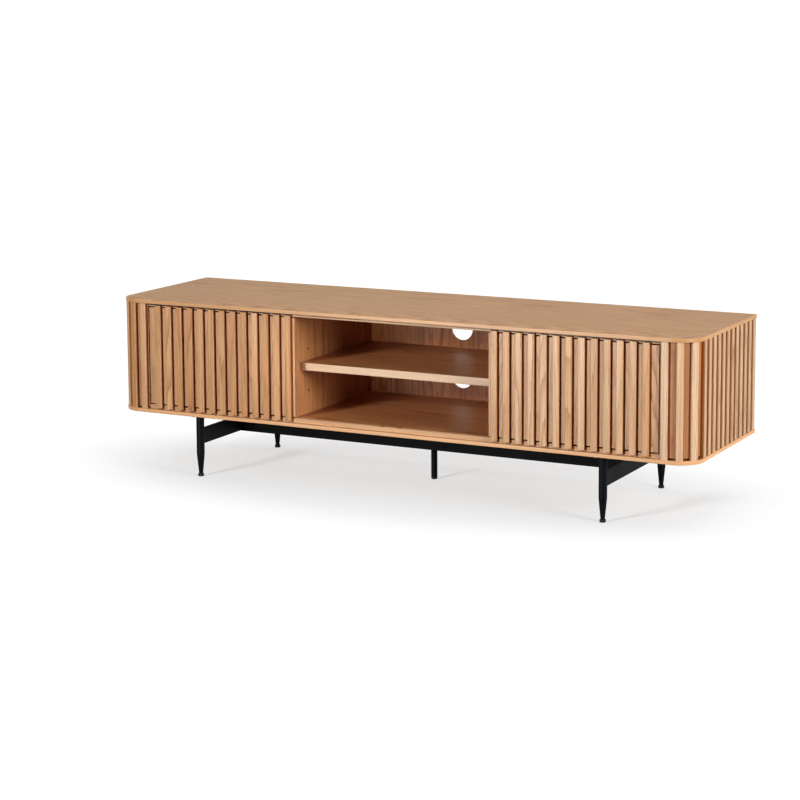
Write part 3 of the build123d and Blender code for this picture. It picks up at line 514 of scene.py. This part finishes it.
COAT_COLOURS = ((0.0050, 0.0075, 0.0105), (0.0075, 0.0100, 0.0135))
COAT_ROUGHNESS = (0.50, 0.58)
COAT_BUMP = {"depth": 0.0002, "strength": 0.35}
COAT_SPECULAR = 0.16
ZINC_COLOURS = ((0.48, 0.48, 0.46), (0.66, 0.66, 0.63))
ZINC_ROUGHNESS = (0.24, 0.38)
BEECH_COLOURS = ((0.45, 0.27, 0.14), (0.60, 0.39, 0.22))
BEECH_ROUGHNESS = (0.6, 0.7)
BEECH_BUMP = {"depth": 0.0002, "strength": 0.3}
SMOOTH_BUMP = {"depth": 0.0001, "strength": 0.2}
MOULDED_DARK = 0.9  # the darker colour, as a share of the paler one
MOULDED_MATT = 0.08  # added roughness


def skin(g, noise, span, colours, roughness, height=None, **constants):
    """A material whose colour and roughness follow one noise over a span of its values."""
    colour = g.ramp(noise, tuple(zip(span, colours)))
    height = noise if height is None else height
    return g.surface(colour, g.step(noise, *span, *roughness), height, **constants)


def powder_coat():
    """Matte black powder coat: a fine pebbled skin."""
    g = material_graph("black_powder_coat")
    place = g.place()
    return skin(g, g.noise(place, COAT_CLOUDS), SOFT_SPAN, COAT_COLOURS, COAT_ROUGHNESS,
                g.noise(place, PEBBLES), specular_ior_level=COAT_SPECULAR, **COAT_BUMP)


def zinc():
    """Bright zinc plate with drawing marks."""
    g = material_graph("zinc_plate")
    marks = g.noise(g.place(), DRAWING_MARKS, detail=3.0)
    return skin(g, marks, NOISE_SPAN, ZINC_COLOURS, ZINC_ROUGHNESS, metallic=1.0, **SMOOTH_BUMP)


def moulded(name, colour, roughness):
    """Moulded nylon or rubber with a slightly uneven skin."""
    g = material_graph(name)
    darker = tuple(part * MOULDED_DARK for part in colour)
    return skin(g, g.noise(g.place(), MOULDED_SKIN), SOFT_SPAN, (darker, colour),
                (roughness, roughness + MOULDED_MATT), **SMOOTH_BUMP)


def dowel_wood():
    """Plain beech with short flecks along Z."""
    g = material_graph("beech_dowel")
    axis = g.split(g.place())
    place = g.vector(*(g.math("MULTIPLY", part, often) for part, often in zip(axis, FLECKS)))
    fleck = g.noise(place, detail=3.0)
    return skin(g, fleck, SOFT_SPAN, BEECH_COLOURS, BEECH_ROUGHNESS, **BEECH_BUMP)


def dress(materials):
    """Puts each material in the material slots of its CAD nodes."""
    for material, names in materials.items():
        for name in names:
            for slot in NODES[name].material_slots:
                slot.link = "DATA"
                slot.material = material


def dress_all():
    """Gives every CAD node its material."""
    dress(make_oaks())
    dress({
        powder_coat(): [
            "leg_front_left", "leg_front_right", "leg_rear_left", "leg_rear_right",
            "leg_plates", "left_side_bar", "right_side_bar", "centre_rail", "rail_brackets",
            "centre_leg", "centre_leg_plate"],
        zinc(): ["base_screws", "slab_screws", "back_screws", "rail_bolts", "shelf_pins"],
        moulded("black_nylon", (0.016, 0.016, 0.017), 0.45): [
            "foot_glides", "centre_leg_glide", "track_stops"],
        moulded("dark_nylon", (0.022, 0.022, 0.023), 0.40): [
            "left_door_glides", "left_door_guides", "right_door_glides", "right_door_guides"],
        moulded("soft_rubber", (0.030, 0.028, 0.026), 0.65): ["door_bumpers"],
        dowel_wood(): ["dowels"],
    })


# --- stage, light and camera ---------------------------------------------------------------
FLOOR_SIZE = 120.0
FLOOR_WHITE = (0.370, 0.380, 0.391)  # share of the light that the floor gives back
FLOOR_GLOW = 0.60  # the rest of its paleness
FLOOR_ROUGHNESS = 0.9
FADE_RADII = (0.84, 0.44)  # the floor fades into the white surround along ellipses
FADE_FROM = 0.80
FADE_TO = 1.80

WORLD_SEEN = 1.05
SURROUND_BACK = 0.58
SURROUND_FRONT = 0.01
BOUNCE_BACK = 0.95  # from below the horizon, in place of the floor's bounce
BOUNCE_FRONT = 0.01
FRONT_TO_BACK = (-0.25, 0.35)  # how far back a direction points, where the front turns to back
HORIZON = (0.0, -0.05)

# name: place, target, width, height, watts
LAMPS = {
    "key_left": ((-2.20, -5.90, 2.40), (0.0, -0.25, 0.35), 1.1, 1.0, 360.0),
    "side_right": ((4.5, -1.5, 1.3), (0.3, -0.2, 0.35), 1.5, 1.8, 174.0),
    "top_soft": ((0.2, 0.4, 3.6), (0.0, 0.0, 0.4), 3.6, 2.4, 38.0),
    "sheen_front": ((-1.0, -3.5, 0.30), (0.5, -0.25, 0.30), 1.1, 0.5, 85.0),
    "bay_fill": ((-0.09, -4.0, 0.62), (-0.09, 0.0, 0.35), 0.68, 0.28, 0.10),
}
BAY_FILL_SPREAD = math.radians(4.0)

CAMERA_PLACE = (2.7844, -5.5660, 1.4451)
CAMERA_AZIMUTH = 0.47626  # radians, from the right of the front
CAMERA_PITCH = 0.1366  # radians below the horizon
CAMERA_ROLL = 0.0057
CAMERA_LENS = 98.93  # mm
CAMERA_SENSOR = 36.0  # mm
CAMERA_SHIFT_Y = -0.15
CAMERA_REACH = 200.0

GAMMA = 0.8


def link(name, data):
    """A new object in the scene."""
    thing = bpy.data.objects.new(name, data)
    bpy.context.scene.collection.objects.link(thing)
    return thing


def make_floor():
    """A plain pale floor. The surround below the horizon stands for its bounce."""
    mesh = bpy.data.meshes.new("studio_floor")
    h = FLOOR_SIZE / 2
    mesh.from_pydata([(-h, -h, 0), (h, -h, 0), (h, h, 0), (-h, h, 0)], [], [(0, 1, 2, 3)])
    floor = link("studio_floor", mesh)
    g = material_graph("pale_floor")
    scale = (1.0 / FADE_RADII[0], 1.0 / FADE_RADII[1], 0.0)
    scaled = g.add("ShaderNodeVectorMath", {0: g.place(), 1: scale}, operation="MULTIPLY")
    reach = g.add("ShaderNodeVectorMath", {0: scaled.outputs[0]}, operation="LENGTH")
    far = g.step(reach.outputs["Value"], FADE_FROM, FADE_TO)
    colour = g.mix(far, FLOOR_WHITE, BLACK)
    glow = g.mix(far, (FLOOR_GLOW,) * 3, (WORLD_SEEN,) * 3)
    mesh.materials.append(g.surface(
        colour, FLOOR_ROUGHNESS, glow=glow, emission_strength=1.0, specular_ior_level=0.0))
    floor.visible_diffuse = False
    floor.visible_glossy = False


def make_world():
    """A white surround to look at. It lights from behind and below, and little from the front."""
    world = bpy.data.worlds.new("studio")
    bpy.context.scene.world = world
    g = Graph(world, "ShaderNodeOutputWorld")
    facing = g.split(g.add("ShaderNodeTexCoord").outputs["Generated"])
    above = g.step(facing[1], *FRONT_TO_BACK, SURROUND_FRONT, SURROUND_BACK)
    below = g.step(facing[1], *FRONT_TO_BACK, BOUNCE_FRONT, BOUNCE_BACK)
    sunk = g.step(facing[2], *HORIZON)
    lit = g.math("MULTIPLY_ADD", g.math("SUBTRACT", below, above), sunk, above)
    rest = g.math("SUBTRACT", WORLD_SEEN, lit)
    seen = g.add("ShaderNodeLightPath").outputs["Is Camera Ray"]
    strength = g.math("MULTIPLY_ADD", rest, seen, lit)
    background = g.add("ShaderNodeBackground", {0: WHITE, 1: strength})
    g.feed(g.output.inputs[0], background.outputs[0])


def make_lamp(name, place, target, width, height, power):
    """A rectangular lamp that points at its target."""
    data = bpy.data.lights.new(name, "AREA")
    data.shape = "RECTANGLE"
    data.size = width
    data.size_y = height
    data.energy = power
    lamp = link(name, data)
    lamp.location = place
    direction = Vector(target) - Vector(place)
    lamp.rotation_euler = direction.to_track_quat("-Z", "Y").to_euler()
    return lamp


def make_lights():
    """The lamps, and what sets two of them apart."""
    lamps = {name: make_lamp(name, *lamp) for name, lamp in LAMPS.items()}
    lamps["sheen_front"].visible_diffuse = False  # seen only as a soft shine on the lacquer
    lamps["bay_fill"].data.spread = BAY_FILL_SPREAD  # a narrow beam into the open bay
    lamps["bay_fill"].visible_camera = False


def make_camera():
    """The camera of the main view, aimed by its azimuth, pitch and roll."""
    data = bpy.data.cameras.new("camera")
    data.sensor_width = CAMERA_SENSOR
    data.lens = CAMERA_LENS
    data.shift_y = CAMERA_SHIFT_Y
    data.clip_end = CAMERA_REACH
    camera = link("camera", data)
    camera.location = CAMERA_PLACE
    ahead = Vector((
        -math.sin(CAMERA_AZIMUTH) * math.cos(CAMERA_PITCH),
        math.cos(CAMERA_AZIMUTH) * math.cos(CAMERA_PITCH),
        -math.sin(CAMERA_PITCH),
    ))
    camera.rotation_mode = "QUATERNION"
    level = ahead.to_track_quat("-Z", "Y")
    camera.rotation_quaternion = level @ Quaternion((0.0, 0.0, 1.0), -CAMERA_ROLL)
    bpy.context.scene.camera = camera


bpy.context.scene.view_settings.view_transform = "Standard"
bpy.context.scene.view_settings.gamma = GAMMA
make_camera()
make_world()
make_lights()
make_floor()
dress_all()
